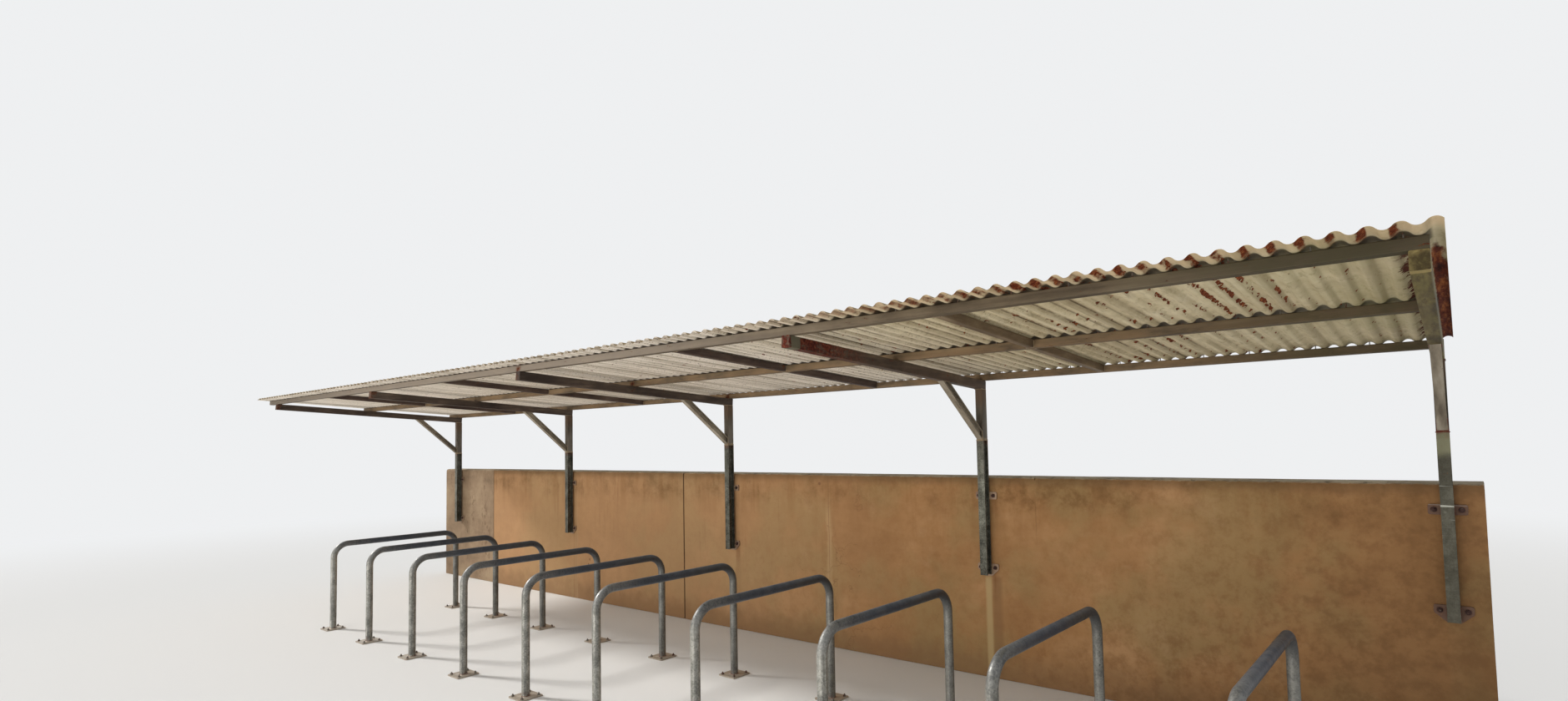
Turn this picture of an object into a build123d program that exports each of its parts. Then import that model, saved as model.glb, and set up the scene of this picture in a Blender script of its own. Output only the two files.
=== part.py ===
from build123d import *
from math import sin, cos, tan, asin, radians
import os

os.makedirs("parts", exist_ok=True)

# Bike shelter: a steel lean-to roof on five posts that are bolted to a low
# concrete wall, with a row of ten tube hoops on the ground below it.
# X runs along the wall, +Y goes into the wall, +Z is up, ground at z = 0.

# Bays and posts
bay = 2400.0                 # post to post along the wall
bays = 4
post_w = 50.0                # flange width of the I section
post_d = 60.0                # depth of the I section
flange_t = 6.0
web_t = 5.0
root_r = 5.0
post_foot_z = 665.0          # the posts end above the ground
head_z = [1532.0, 1532.0, 1532.0, 1485.0, 1485.0]     # weld under each painted head
cap_t = 8.0                  # plate on the head of each galvanised post

# Lug plates behind the posts
lug_w = 150.0
lug_h = 48.0
lug_t = 8.0
lug_r = 9.0
lug_hole_r = 9.0
lug_pitch = 104.0            # hole to hole across a post
upper_lug_z = 1172.0
lower_lug_z = 708.0
shield_drop = 12.0           # where the lower plate starts to taper, and its point below the post

# Wall
wall_h = 1295.0
wall_t = 220.0
wall_past_right = 140.0      # wall beyond the centre of the right post
wall_past_left = 400.0       # wall beyond the centre of the left post
joint_1 = 2060.0             # wall joints, measured from the right post
joint_2 = 5440.0
joint_3 = 8820.0
joint_gap = 6.0
joint_depth = 15.0
wall_chamfer = 10.0          # along the top edges

# Roof frame
slope = 4.0                  # degrees, the roof rises towards the front
arm_w = 50.0
arm_d = 58.0
arm_reach = 1835.0           # from the post face to the tip, along the slope
arm_top_z = 1925.0           # top of the arms at the post face
tube_r = 4.0                 # corner radius of the box sections
purlin = 40.0                # square tube
mid_purlin_at = 920.0        # centre of the middle purlin, from the post face
splice_gap = 3.0
purlin_past_right = 25.0
purlin_past_left = 225.0
rafter_at = [1590.0, 3250.0, 5960.0, 8260.0]     # from the right post

# Braces under the arms
brace_w = 40.0
brace_d = 46.0
brace_t = 5.0
brace_up = 36.0              # axis of the brace at the post face, above the weld
brace_out = 423.0            # axis of the brace at the arm, from the post face

# Corrugated sheets
pitch = 76.2
corrugation = 18.0
sheet_t = 1.6
waves = 13                   # corrugations on one sheet
sheets = 10
front_past = 105.0           # sheet ahead of the front purlin
back_past = 60.0             # sheet behind the post face
roof_past_right = 60.0       # sheet beyond the centre of the right post
seat = 0.3                   # clearance of the curved sheets on the purlins

# Hoops, each one a bent tube on two base plates
hoop_at = [527.0, 1348.0, 2174.0, 3009.0, 3857.0,
           4616.0, 5428.0, 6236.0, 7038.0, 7818.0]   # from the right post
tube_d = 48.3
hoop_len = 1055.0            # leg to leg
hoop_h = 755.0               # over the tube
hoop_bend = 115.0            # on the centre line
hoop_rear = 825.0            # rear leg in front of the post face
plate = 150.0
plate_t = 8.0
plate_r = 10.0
plate_hole_r = 6.0
plate_hole_pitch = 110.0

# Places that follow from the sizes
a = radians(slope)
wall_len = wall_past_left + bays * bay + wall_past_right
right_post = wall_len / 2 - wall_past_right
post_x = [right_post - i * bay for i in range(bays + 1)]
sheet_mid = purlin + seat + sheet_t / 2 + corrugation / 2      # above the arms
roof_front = arm_reach + front_past
sheet_len = roof_front + back_past
reach_front = max(roof_front * cos(a) - (purlin + seat) * sin(a),
                  hoop_rear + hoop_len + plate / 2)
reach_back = post_d + lug_t + wall_t
face_y = (reach_front - reach_back) / 2                        # front of the posts
wall_y = face_y + post_d + lug_t                               # front of the wall

# The tops of the arms lie in this plane, its local -Y goes to the front
roof = Plane(origin=(0, face_y, arm_top_z), x_dir=(1, 0, 0), z_dir=(0, sin(a), cos(a)))


def save(piece, name):
    piece.part.label = name
    export_step(piece.part, f"parts/{name}.step")


def along_slope(x, start, up):
    """Section plane at a point of the roof plane, facing down the slope."""
    return Plane(origin=roof.from_local_coords((x, start, up)), x_dir=(1, 0, 0),
                 z_dir=roof.y_dir)


def along_wall(x, back, up):
    """Section plane at a point of the roof plane, facing along the wall."""
    return Plane(origin=roof.from_local_coords((x, back, up)), x_dir=roof.y_dir,
                 z_dir=(1, 0, 0))


# Wall panels between the joints
cuts = [wall_len / 2] + [right_post - j for j in (joint_1, joint_2, joint_3)] + [-wall_len / 2]
for n, (x1, x0) in enumerate(zip(cuts, cuts[1:]), start=1):
    with BuildPart() as wall:
        with BuildSketch(Plane.XY):
            with Locations(((x0 + x1) / 2, wall_y + wall_t / 2)):
                Rectangle(x1 - x0, wall_t)
            if n < len(cuts) - 1:
                with Locations((x0, wall_y)):
                    Rectangle(joint_gap, 2 * joint_depth, mode=Mode.SUBTRACT)
            if n > 1:
                with Locations((x1, wall_y)):
                    Rectangle(joint_gap, 2 * joint_depth, mode=Mode.SUBTRACT)
        extrude(amount=wall_h)
        top_edges = wall.edges().filter_by(Axis.X).group_by(Axis.Z)[-1]
        chamfer(top_edges, wall_chamfer)
    save(wall, f"wall_panel_{n}")


# Galvanised posts with their lug plates
shield_top = lower_lug_z + lug_h / 2
shield_side = lower_lug_z - shield_drop
shield_foot = post_foot_z - shield_drop
for n, (x, top) in enumerate(zip(post_x, head_z), start=1):
    with BuildPart() as post:
        with BuildSketch(Plane.XY.offset(post_foot_z)) as section:
            with Locations((x, face_y + post_d / 2)):
                Rectangle(post_w, post_d)
            side = (post_w - web_t) / 2
            with Locations((x + (web_t + side) / 2, face_y + post_d / 2),
                           (x - (web_t + side) / 2, face_y + post_d / 2)):
                Rectangle(side, post_d - 2 * flange_t, mode=Mode.SUBTRACT)
            inner = [v for v in section.vertices() if abs(v.X - x) < web_t]
            fillet(inner, root_r)
        extrude(amount=top - post_foot_z)
        # Upper lug plate, a flat bar with round corners
        with BuildSketch(Plane.XZ.offset(-(wall_y - lug_t))):
            with Locations((x, upper_lug_z)):
                RectangleRounded(lug_w, lug_h, lug_r)
            with Locations((x - lug_pitch / 2, upper_lug_z), (x + lug_pitch / 2, upper_lug_z)):
                Circle(lug_hole_r, mode=Mode.SUBTRACT)
        extrude(amount=-lug_t)
        # Lower lug plate, drawn in under the foot of the post
        with BuildSketch(Plane.XZ.offset(-(wall_y - lug_t))) as shield:
            with BuildLine():
                Polyline((x - lug_w / 2, shield_top), (x + lug_w / 2, shield_top),
                         (x + lug_w / 2, shield_side), (x + post_w / 2, shield_foot),
                         (x - post_w / 2, shield_foot), (x - lug_w / 2, shield_side),
                         close=True)
            make_face()
            fillet(shield.vertices(), lug_r)
            with Locations((x - lug_pitch / 2, lower_lug_z), (x + lug_pitch / 2, lower_lug_z)):
                Circle(lug_hole_r, mode=Mode.SUBTRACT)
        extrude(amount=-lug_t)
    save(post, f"wall_post_{n}")

# Painted heads between the posts and the arms
under = arm_d / cos(a)
for n, (x, weld) in enumerate(zip(post_x, head_z), start=1):
    with BuildPart() as head:
        with BuildSketch(Plane.YZ.offset(x - arm_w / 2)):
            with BuildLine():
                Polyline((face_y, weld + cap_t), (face_y + post_d, weld + cap_t),
                         (face_y + post_d, arm_top_z - under - post_d * tan(a)),
                         (face_y, arm_top_z - under), close=True)
            make_face()
        extrude(amount=arm_w)
        fillet(head.edges().filter_by(Axis.Z), tube_r)
        with Locations((x, face_y + post_d / 2, weld + cap_t / 2)):
            Box(post_w, post_d, cap_t)
    save(head, f"post_head_{n}")

# Arms, box sections with a closed tip
arm_back = post_d / cos(a)
for n, x in enumerate(post_x, start=1):
    with BuildPart() as arm:
        with BuildSketch(along_slope(x, -arm_reach, -arm_d / 2)):
            RectangleRounded(arm_w, arm_d, tube_r)
        extrude(amount=arm_reach + arm_back)
    save(arm, f"roof_arm_{n}")

# Braces, small I sections cut to the post face and to the arm
high = roof.from_local_coords(Vector(0, -brace_out / cos(a), -arm_d))
post_face = Plane(origin=(0, face_y, 0), z_dir=(0, -1, 0))
arm_under = Plane(origin=high, x_dir=(1, 0, 0), z_dir=-roof.z_dir)
for n, (x, weld) in enumerate(zip(post_x, head_z), start=1):
    low = Vector(0, face_y, weld + brace_up)
    lean = (high - low).normalized()
    with BuildPart() as brace:
        with BuildSketch(Plane(origin=(low + high) / 2 + Vector(x, 0, 0), x_dir=(1, 0, 0), z_dir=lean)):
            side = (brace_w - brace_t) / 2
            Rectangle(brace_w, brace_d)
            with Locations((brace_t / 2 + side / 2, 0), (-brace_t / 2 - side / 2, 0)):
                Rectangle(side, brace_d - 2 * brace_t, mode=Mode.SUBTRACT)
        extrude(amount=(high - low).length, both=True)
        split(bisect_by=post_face, keep=Keep.TOP)
        split(bisect_by=arm_under, keep=Keep.TOP)
    save(brace, f"arm_brace_{n}")

# Purlins, each one in two lengths that meet over the middle arm
purlin_x1 = right_post + purlin_past_right
purlin_x0 = post_x[-1] - purlin_past_left
purlin_at = {"front_purlin": purlin / 2 - arm_reach, "middle_purlin": -mid_purlin_at,
             "back_purlin": arm_back - purlin / 2}
splice = post_x[bays // 2]
for name, back in purlin_at.items():
    with BuildPart() as rail:
        for x0, x1 in ((purlin_x0, splice - splice_gap / 2), (splice + splice_gap / 2, purlin_x1)):
            with BuildSketch(along_wall(x0, back, purlin / 2)):
                RectangleRounded(purlin, purlin, tube_r)
            extrude(amount=x1 - x0)
    save(rail, name)

# Rafters, flush between the purlins
rows = [purlin_at["front_purlin"], purlin_at["middle_purlin"], purlin_at["back_purlin"]]
for n, at in enumerate(rafter_at, start=1):
    with BuildPart() as rafter:
        for ahead, behind in zip(rows, rows[1:]):
            with BuildSketch(along_slope(right_post - at, ahead + purlin / 2, purlin / 2)):
                RectangleRounded(purlin, purlin, tube_r)
            extrude(amount=behind - ahead - purlin)
    save(rafter, f"rafter_{n}")

# Corrugated sheets, waves made of tangent arcs
arc_r = ((pitch / 4) ** 2 + (corrugation / 2) ** 2) / corrugation
tilt = asin(pitch / 4 / arc_r)
roof_x1 = right_post + roof_past_right


def wave_line(x0, side):
    """One face of the sheet, from x0 to the left, a crest first; side is half the thickness, signed."""
    for i in range(2 * waves):
        up = -1 if i % 2 else 1
        shift = up * side * sin(tilt)
        start = (x0 - i * pitch / 2 + shift, side * cos(tilt))
        end = (x0 - (i + 1) * pitch / 2 - shift, side * cos(tilt))
        mid = (x0 - (i + 0.5) * pitch / 2, up * corrugation / 2 + side)
        ThreePointArc(start, mid, end)


for n in range(sheets):
    x0 = roof_x1 - n * waves * pitch
    x1 = x0 - waves * pitch
    half = sheet_t / 2
    with BuildPart() as sheet:
        with BuildSketch(Plane(origin=roof.from_local_coords((0, -roof_front, sheet_mid)),
                               x_dir=(1, 0, 0), z_dir=-roof.y_dir)) as profile:
            with BuildLine():
                wave_line(x0, half)
                wave_line(x0, -half)
                Line((x0 + half * sin(tilt), half * cos(tilt)), (x0 - half * sin(tilt), -half * cos(tilt)))
                Line((x1 + half * sin(tilt), half * cos(tilt)), (x1 - half * sin(tilt), -half * cos(tilt)))
            make_face()
        extrude(amount=-sheet_len)
    save(sheet, f"roof_sheet_{n + 1:02d}")

# Hoops
rear_y = face_y - hoop_rear
front_y = rear_y - hoop_len
bar_z = hoop_h - tube_d / 2
for n, at in enumerate(hoop_at, start=1):
    x = right_post - at
    with BuildPart() as hoop:
        with BuildLine():
            FilletPolyline((x, front_y, plate_t), (x, front_y, bar_z), (x, rear_y, bar_z),
                           (x, rear_y, plate_t), radius=hoop_bend)
        with BuildSketch(Plane.XY.offset(plate_t)):
            with Locations((x, front_y)):
                Circle(tube_d / 2)
        sweep()
        with BuildSketch(Plane.XY):
            with Locations((x, front_y), (x, rear_y)):
                RectangleRounded(plate, plate, plate_r)
                with GridLocations(plate_hole_pitch, plate_hole_pitch, 2, 2):
                    Circle(plate_hole_r, mode=Mode.SUBTRACT)
        extrude(amount=plate_t)
    save(hoop, f"bike_hoop_{n:02d}")
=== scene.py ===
import math
import random
from contextlib import contextmanager

import bmesh
import bpy
from mathutils import Matrix, Vector


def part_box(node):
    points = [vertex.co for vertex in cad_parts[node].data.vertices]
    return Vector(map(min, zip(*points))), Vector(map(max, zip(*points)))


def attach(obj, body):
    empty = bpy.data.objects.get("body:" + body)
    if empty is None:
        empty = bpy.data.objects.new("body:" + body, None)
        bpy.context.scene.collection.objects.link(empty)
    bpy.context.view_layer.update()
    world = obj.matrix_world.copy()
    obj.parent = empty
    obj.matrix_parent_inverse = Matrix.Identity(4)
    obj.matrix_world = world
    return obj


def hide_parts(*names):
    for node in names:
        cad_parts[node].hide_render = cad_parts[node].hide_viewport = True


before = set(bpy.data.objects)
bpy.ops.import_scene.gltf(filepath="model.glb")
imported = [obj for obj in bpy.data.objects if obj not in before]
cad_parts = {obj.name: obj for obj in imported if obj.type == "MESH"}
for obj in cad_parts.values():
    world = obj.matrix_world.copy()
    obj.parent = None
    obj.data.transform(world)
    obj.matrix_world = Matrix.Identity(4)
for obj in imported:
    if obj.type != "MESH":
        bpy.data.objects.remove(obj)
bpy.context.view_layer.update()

random.seed(11)

# Places read from the parts of model.glb, in metres
POSTS = 5
SHEETS = 10
HOOPS = 10
PANELS = 4
post_x = [(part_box(f"wall_post_{n}")[0].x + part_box(f"wall_post_{n}")[1].x) / 2 for n in range(1, POSTS + 1)]
weld_z = [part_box(f"post_head_{n}")[0].z for n in range(1, POSTS + 1)]
face_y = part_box("wall_post_1")[0].y
wall_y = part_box("wall_panel_1")[0].y
wall_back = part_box("wall_panel_1")[1].y
wall_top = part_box("wall_panel_1")[1].z
roof_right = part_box("roof_sheet_01")[1].x

# Sizes that the posts, arms and roof share
slope = math.radians(4)
arm_top = 1.925
arm_depth = 0.058
arm_width = 0.050
post_depth = 0.060
purlin = 0.040
brace_width = 0.040
brace_depth = 0.046
brace_up = 0.036
brace_out = 0.423

# Rows of purlins and the sheets on them, measured back from the post face
front_row = -1.815
middle_row = -0.920
back_row = post_depth / math.cos(slope) - purlin / 2
pitch = 0.0762
corrugation = 0.018
waves = 13
sheet_front = -1.940
sheet_back = 0.060
sheet_gauge = 0.0006
crest_up = 0.0596
sheet_mid = 0.0501

# Lug plates behind the posts
lug_gauge = 0.008
lug_reach = 0.052
upper_lug = 1.172
lower_lug = 0.708
lug_height = 0.048

# Hoops
hoop_tube = 0.02415
foot_gauge = 0.008
foot_bolt_reach = 0.055

# Weld seams
bead_radius = 0.0032
bead_step = 0.0026


def roof_y(back):
    """The place in Y of a line across the roof plane, measured along the slope."""
    return face_y + back * math.cos(slope)


def on_roof(x, back, up):
    """A point of the roof plane, which rises to the front from the tops of the posts."""
    return Vector((x, roof_y(back) + up * math.sin(slope),
                   arm_top - back * math.sin(slope) + up * math.cos(slope)))


# Modelling
def take(*pieces):
    """Chooses these pieces and nothing else; the first one is the active one."""
    bpy.ops.object.select_all(action="DESELECT")
    for piece in pieces:
        piece.select_set(True)
    bpy.context.view_layer.objects.active = pieces[0]


def settle(piece):
    """Moves a piece's place and size into its mesh."""
    take(piece)
    bpy.ops.object.transform_apply(location=True, rotation=True, scale=True)


def fresh(primitive, name, **sizes):
    """Adds a primitive with nothing else chosen, names it and settles it."""
    bpy.ops.object.select_all(action="DESELECT")
    primitive(**sizes)
    piece = bpy.context.object
    piece.name = name
    piece.data.name = name
    settle(piece)
    return piece


@contextmanager
def editing(piece):
    """Edit mode on a piece for as long as the block lasts."""
    take(piece)
    bpy.ops.object.mode_set(mode="EDIT")
    yield
    bpy.ops.object.mode_set(mode="OBJECT")


def choose(kind, test):
    """In edit mode, chooses the vertices, edges or faces for which the test holds."""
    bpy.ops.mesh.select_mode(type=kind)
    bpy.ops.mesh.select_all(action="DESELECT")
    data = bpy.context.object.data
    mesh = bmesh.from_edit_mesh(data)
    for item in {"VERT": mesh.verts, "EDGE": mesh.edges, "FACE": mesh.faces}[kind]:
        if test(item):
            item.select_set(True)
    bmesh.update_edit_mesh(data)


def along(edge, axis):
    """True for an edge that runs along an axis."""
    run = (edge.verts[1].co - edge.verts[0].co).normalized()
    return abs(run[axis]) > 0.99


def shaped(piece, kind, **settings):
    """Adds a modifier to a piece and applies it."""
    take(piece)
    modifier = piece.modifiers.new(kind.title(), kind)
    for key, value in settings.items():
        setattr(modifier, key, value)
    bpy.ops.object.modifier_apply(modifier=modifier.name)


def repeated(piece, count, step, **settings):
    """Repeats a piece along its X."""
    shaped(piece, "ARRAY", count=count, use_relative_offset=False, use_constant_offset=True,
           constant_offset_displace=(step, 0, 0), **settings)


def dented(piece, name, size, strength, depth=2, **settings):
    """Dents a piece by a cloudy texture with clumps of a size."""
    texture = bpy.data.textures.new(name, "CLOUDS")
    texture.noise_scale = size
    texture.noise_depth = depth
    shaped(piece, "DISPLACE", texture=texture, strength=strength, **settings)


def copied(piece, name, place):
    """A copy with a mesh of its own, set in place."""
    twin = piece.copy()
    twin.data = piece.data.copy()
    twin.name = name
    bpy.context.scene.collection.objects.link(twin)
    twin.matrix_world = place
    settle(twin)
    return twin


def joined(pieces, name):
    """Joins pieces into one."""
    take(*pieces)
    if len(pieces) > 1:
        bpy.ops.object.join()
    piece = bpy.context.object
    piece.name = name
    piece.data.name = name
    return piece


def smooth(piece, angle):
    """Shades a piece round where its faces meet at less than an angle in degrees."""
    take(piece)
    bpy.ops.object.shade_smooth_by_angle(angle=math.radians(angle))


def facing(direction, at):
    """The placing that turns a piece's +Z to a direction and moves it to a point."""
    return Matrix.Translation(at) @ Vector(direction).to_track_quat("Z", "Y").to_matrix().to_4x4()


def dressed(piece, finish, slot, *nodes):
    """Gives a piece its finish and hangs it on the body; it may stand for CAD nodes."""
    piece.data.materials.clear()
    piece.data.materials.append(finish)
    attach(piece, "root")
    if nodes:
        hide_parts(*nodes)


# Finishes
def tone(red, green, blue, brighter=1.0):
    """A colour as a paint chart gives it, 0 to 255, made brighter, for a shader."""
    def linear(c):
        c /= 255
        c = c / 12.92 if c <= 0.04045 else ((c + 0.055) / 1.055) ** 2.4
        return min(1.0, c * brighter)
    return (linear(red), linear(green), linear(blue), 1.0)


class Finish:
    """A finish made of nodes; its patterns lie in the metres of the piece, its colours are chart numbers."""

    def __init__(self, name, specular):
        self.material = bpy.data.materials.new(name)
        self.material.use_nodes = True
        self.tree = self.material.node_tree
        self.shader = self.tree.nodes["Principled BSDF"]
        self.shader.inputs["Specular IOR Level"].default_value = specular
        self.metres = self.node("TexCoord", {}, out="Object")
        self.x, self.y, self.z = (self.node("SeparateXYZ", {0: self.metres}, out=axis) for axis in "XYZ")

    def node(self, kind, feeds, out=0, **settings):
        """Adds a node; a feed is a number, a colour or another node's output."""
        node = self.tree.nodes.new("ShaderNode" + kind)
        for key, value in settings.items():
            setattr(node, key, value)
        for key, value in feeds.items():
            if isinstance(value, bpy.types.NodeSocket):
                self.tree.links.new(value, node.inputs[key])
            else:
                node.inputs[key].default_value = value
        return node.outputs[out]

    def noise(self, scale, detail=4.0, rough=0.55, stretch=(1, 1, 1), shift=(0, 0, 0), warp=0.0):
        at = self.node("Mapping", {"Vector": self.metres, "Scale": stretch, "Location": shift})
        return self.node("TexNoise", {"Vector": at, "Scale": scale, "Detail": detail,
                                      "Roughness": rough, "Distortion": warp}, out="Fac")

    def cells(self, scale, out="Distance"):
        return self.node("TexVoronoi", {"Vector": self.metres, "Scale": scale}, out=out)

    def math(self, operation, a, b=0.0):
        return self.node("Math", {0: a, 1: b}, operation=operation)

    def times(self, a, *more):
        for b in more:
            a = self.math("MULTIPLY", a, b)
        return a

    def plus(self, a, *more):
        for b in more:
            a = self.math("ADD", a, b)
        return a

    def larger(self, a, b):
        return self.math("MAXIMUM", a, b)

    def blend(self, *parts):
        """The sum of patterns, each times its share."""
        return self.plus(*(self.times(*part) for part in parts))

    def wavy(self, value, pattern, amount):
        """A value made uneven by a pattern."""
        return self.plus(value, self.times(pattern, amount))

    def upward(self):
        """1 where the surface faces up, -1 where it faces down."""
        return self.node("SeparateXYZ", {0: self.node("NewGeometry", {}, out="Normal")}, out="Z")

    def rising(self, value, low, high, most=1.0):
        """0 below low, the most above high, smooth between; high may be the lower one."""
        return self.node("MapRange", {"Value": value, "From Min": low, "From Max": high,
                                      "To Max": most}, interpolation_type="SMOOTHSTEP")

    def near(self, value, centre, half, soft):
        """1 within half of the centre, fading to 0 over the soft width."""
        off = self.math("ABSOLUTE", self.math("SUBTRACT", value, centre))
        return self.rising(off, half + soft, half)

    def ramp(self, value, *stops):
        """A colour for each stop of a value, blended between; a stop is its place and its colour."""
        node = self.tree.nodes.new("ShaderNodeValToRGB")
        marks = node.color_ramp.elements
        while len(marks) < len(stops):
            marks.new(0.5)
        for mark, (at, *colour) in zip(marks, stops):
            mark.position = at
            mark.color = tone(*colour)
        self.tree.links.new(value, node.inputs[0])
        return node.outputs["Color"]

    def over(self, base, colour, *masks):
        """Lays a colour over the base where all masks are 1; the colour may come from another node."""
        if not isinstance(colour, bpy.types.NodeSocket):
            colour = tone(*colour)
        return self.node("Mix", {0: self.times(*masks), 6: base, 7: colour}, out=2, data_type="RGBA")

    def lay(self, colour, *masks):
        """Lays a colour over the finish so far."""
        self.colour = self.over(self.colour, colour, *masks)

    def done(self, roughness, height, metallic=None):
        """Feeds the shader; height is in metres."""
        self.tree.links.new(self.colour, self.shader.inputs["Base Color"])
        self.tree.links.new(roughness, self.shader.inputs["Roughness"])
        if metallic is not None:
            self.tree.links.new(metallic, self.shader.inputs["Metallic"])
        bump = self.node("Bump", {"Strength": 1.0, "Distance": 1.0, "Height": height})
        self.tree.links.new(bump, self.shader.inputs["Normal"])
        return self.material


def wall_paint():
    """Ochre paint over concrete: damp at the top, splash at the foot, bare top and back."""
    f = Finish("wall_paint", specular=0.25)
    grey_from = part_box("wall_panel_4")[1].x
    cloud = f.noise(0.9, detail=3)
    mottle = f.noise(5, detail=6, rough=0.62)
    grain = f.noise(320, detail=2)
    runs = f.noise(1, detail=5, rough=0.6, stretch=(9, 3, 0.9))
    trowel = f.noise(1, detail=4, stretch=(1.6, 3, 9), warp=1.2)
    blend = f.blend((cloud, 0.5), (mottle, 0.35), (trowel, 0.15))
    f.colour = f.ramp(blend, (0.36, 144, 104, 64), (0.50, 161, 120, 78), (0.64, 176, 136, 94))
    green = f.rising(f.noise(1.3, detail=5, shift=(7, 1, 2)), 0.48, 0.62)
    f.lay((146, 122, 80), green, 0.65)
    patchy = f.rising(f.noise(11, detail=7, rough=0.7, shift=(6, 6, 1)), 0.40, 0.68)
    f.lay((134, 94, 58), patchy, 0.38)
    # Towards the left the coat is paler
    left = f.rising(f.wavy(f.x, cloud, 1.6), post_x[1] + 0.6, post_x[2] + 0.2)
    f.lay((186, 147, 108), left, 0.42)
    # Damp and soft stains below the top edge
    high = f.rising(f.z, 0.80, 1.24)
    f.lay((136, 98, 60), high, f.rising(runs, 0.44, 0.66), 0.45)
    blots = f.rising(f.noise(3.4, detail=7, rough=0.72, shift=(4, 0, 2)), 0.42, 0.70)
    damp = f.rising(f.wavy(f.z, mottle, 0.16), 1.08, 1.22)
    f.lay((108, 78, 46), blots, damp, 0.62)
    drips = f.rising(f.noise(1, detail=6, rough=0.7, stretch=(24, 3, 1.5), shift=(3, 1, 2)), 0.53, 0.66)
    drips = f.times(drips, f.rising(f.z, 0.45, 1.10), f.rising(f.x, post_x[0] - 1.8, post_x[0] - 3.4))
    f.lay((122, 84, 52), drips, f.rising(cloud, 0.40, 0.60), 0.45)
    # The dampest place is just right of the second post
    wet = f.rising(f.wavy(f.z, mottle, 0.22), 1.16, 1.28)
    wet = f.times(wet, f.near(f.x, post_x[1] + 0.40, 0.28, 0.45))
    f.lay((106, 74, 40), wet, f.plus(f.times(patchy, 0.5), 0.1))
    rim_dirt = f.rising(f.wavy(f.z, mottle, 0.05), wall_top - 0.055, wall_top + 0.005)
    f.lay((104, 78, 52), rim_dirt, 0.55)
    # Pale worn patches, chips, and splash at the foot
    worn = f.rising(f.noise(1.7, detail=7, rough=0.68, shift=(1, 0, 7)), 0.57, 0.72)
    f.lay((182, 148, 108), worn, 0.35)
    chips = f.times(f.rising(f.cells(5.0), 0.075, 0.055), f.rising(f.noise(1.1, shift=(2, 5, 2)), 0.54, 0.58))
    f.lay((120, 84, 60), chips, f.rising(grain, 0.2, 0.5), 0.8)
    splash = f.rising(f.wavy(f.z, f.noise(9, detail=5), -0.25), 0.12, -0.08)
    f.lay((126, 96, 66), splash, 0.6)
    # Below the foot of the second post the paint has washed pale, the others show a trace
    foot = 0.68
    for n, x in enumerate(post_x):
        below = f.rising(f.wavy(f.z, runs, 0.06), foot + 0.02, foot - 0.02)
        strip = f.times(f.near(f.x, x - 0.004, 0.012, 0.020), below)
        f.lay((176, 152, 108), strip, 0.75 if n == 1 else 0.10)
        shade = f.times(f.near(f.x, x + 0.055, 0.016, 0.035), below)
        f.lay((128, 96, 64), shade, 0.6 if n == 1 else 0.15)
        rust = f.times(f.near(f.x, x + lug_reach, 0.008, 0.026), f.rising(runs, 0.42, 0.62), 0.5)
        for z in (upper_lug, lower_lug):
            fall = f.times(f.rising(f.z, z, z - 0.02), f.rising(f.z, z - 0.26, z - 0.05))
            f.lay((112, 70, 42), rust, fall)
    # Old filled joints halfway along the long panels, the second one fainter
    first_joint, second_joint = 3.75, 7.13
    for x, shows in ((post_x[0] - first_joint, 0.45), (post_x[0] - second_joint, 0.3)):
        band = f.near(f.wavy(f.x, mottle, 0.08), x + 0.040, 0.008, 0.030)
        f.lay((186, 154, 112), band, f.rising(f.z, 1.15, 0.95), shows)
        line = f.near(f.wavy(f.x, mottle, 0.02), x + 0.008, 0.0010, 0.0018)
        f.lay((112, 82, 56), line, 0.6)
    # Dark lips at the open joints, and painted shade low down at the right end
    for panel in (2, 3):
        lip = f.near(f.x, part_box(f"wall_panel_{panel}")[0].x, 0.0050, 0.0060)
        f.lay((84, 60, 40), lip, f.rising(mottle, 0.10, 0.50), 0.85)
    painted_corner_shade = f.plus(f.x, f.times(f.z, -1.3), f.times(patchy, 0.8))
    painted_corner_shade = f.rising(painted_corner_shade, post_x[0] - 2.3, post_x[0] + 0.3, most=0.60)
    f.lay((100, 70, 42), painted_corner_shade)
    # A few hair cracks in the middle of the wall
    wander = f.node("TexNoise", {"Scale": 5.0, "Detail": 5.0, "Vector": f.metres}, out="Color")
    bent = f.node("VectorMath", {0: f.metres, 1: wander}, operation="ADD")
    crack = f.node("TexVoronoi", {"Vector": bent, "Scale": 0.55}, feature="DISTANCE_TO_EDGE")
    crack = f.times(f.rising(crack, 0.0018, 0.0005), f.near(f.x, post_x[0] - 3.4, 0.5, 0.4))
    crack = f.times(crack, f.rising(f.noise(2.2, shift=(3, 3, 3)), 0.44, 0.54))
    f.lay((104, 76, 50), crack, 0.5)
    # Beyond the last joint the coat has gone grey
    grey = f.ramp(blend, (0.36, 110, 90, 68), (0.50, 140, 117, 92), (0.64, 164, 142, 114))
    grey = f.over(grey, (108, 84, 62), f.rising(runs, 0.50, 0.64), f.rising(patchy, 0.36, 0.56), 0.7)
    beyond = f.rising(f.wavy(f.x, mottle, 0.02), grey_from + 0.016, grey_from + 0.008)
    f.lay(grey, beyond)
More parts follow.
